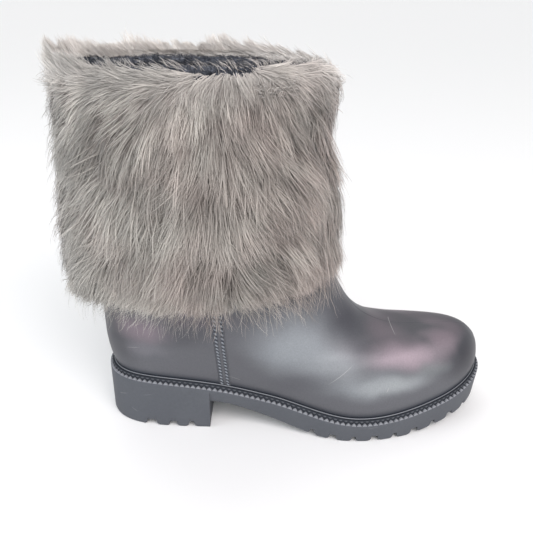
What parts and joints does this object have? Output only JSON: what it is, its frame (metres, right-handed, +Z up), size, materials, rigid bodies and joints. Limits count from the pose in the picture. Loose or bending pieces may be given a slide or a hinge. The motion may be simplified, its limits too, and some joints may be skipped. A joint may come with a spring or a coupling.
{
  "type": "fur-cuffed rain boot",
  "caption": "Right women's rain boot: hollow moulded shell on a block-heeled cleated outsole, with a deep faux-fur cuff round the shaft and a fleece-lined collar.",
  "frame": {"origin": "on the floor, under the middle of the boot's bounding box", "axes": "+X towards the toe, +Y towards the inner (medial) side of the foot, +Z up"},
  "size_m": [0.285, 0.1476, 0.2351],
  "materials": {
    "matte_rubber": "matte moulded",
    "pearl_pvc": "pearlised satin",
    "insole_fleece": "short fleece",
    "faux_fur": "long pile",
    "collar_fleece": "short fleece"
  },
  "bodies": {
    "root": {"outsole": "matte_rubber", "upper": "pearl_pvc", "insole": "insole_fleece", "fur_cuff": "faux_fur", "collar_band": "collar_fleece"}
  },
  "joints": []
}
